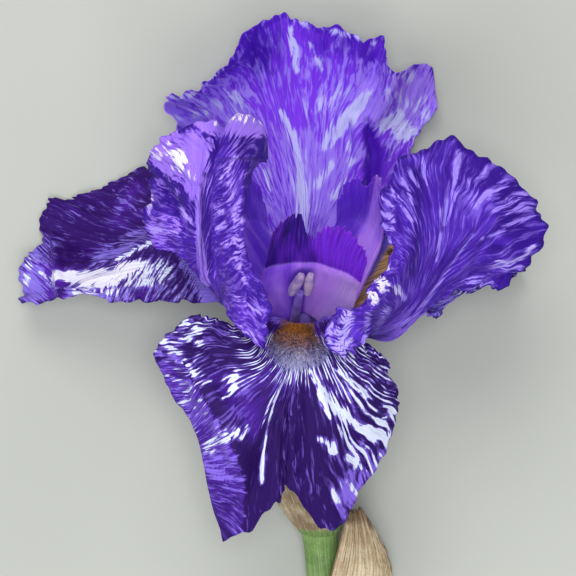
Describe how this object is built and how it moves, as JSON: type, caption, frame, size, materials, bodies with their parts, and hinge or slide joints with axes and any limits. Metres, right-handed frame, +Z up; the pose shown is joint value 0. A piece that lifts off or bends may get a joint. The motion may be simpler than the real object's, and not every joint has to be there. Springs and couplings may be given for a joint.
{
  "type": "bearded iris flower",
  "caption": "Cut bearded iris flower lying on its back, with ruffled streaked petals, bearded falls, style arms, stamens, papery spathes and a short stem.",
  "frame": {"origin": "on the surface the flower lies on, under the middle of its footprint", "axes": "+Z up from that surface; +Y from the cut end of the stem towards the top of the flower; +X to the right of the front fall as seen from above. The flower's own axis rises 20 degrees from +Y towards +Z."},
  "size_m": [0.117, 0.1513, 0.0531],
  "materials": {
    "petal": "satin",
    "style": "satin",
    "beard": "matte",
    "stamen": "matte",
    "green": "satin",
    "papery": "matte"
  },
  "bodies": {
    "root": {"stem": "green", "ovary": "green", "perianth_tube": "green", "inner_spathe": "papery", "outer_spathe": "papery", "style_column": "style", "front_style_arm": "style", "left_style_arm": "style", "right_style_arm": "style", "front_fall": "petal", "left_fall": "petal", "right_fall": "petal", "back_standard": "petal", "left_standard": "petal", "right_standard": "petal", "front_beard": "beard", "left_beard": "beard", "right_beard": "beard", "front_filament": "stamen", "left_filament": "stamen", "right_filament": "stamen", "front_anther": "stamen", "left_anther": "stamen", "right_anther": "stamen"}
  },
  "joints": []
}
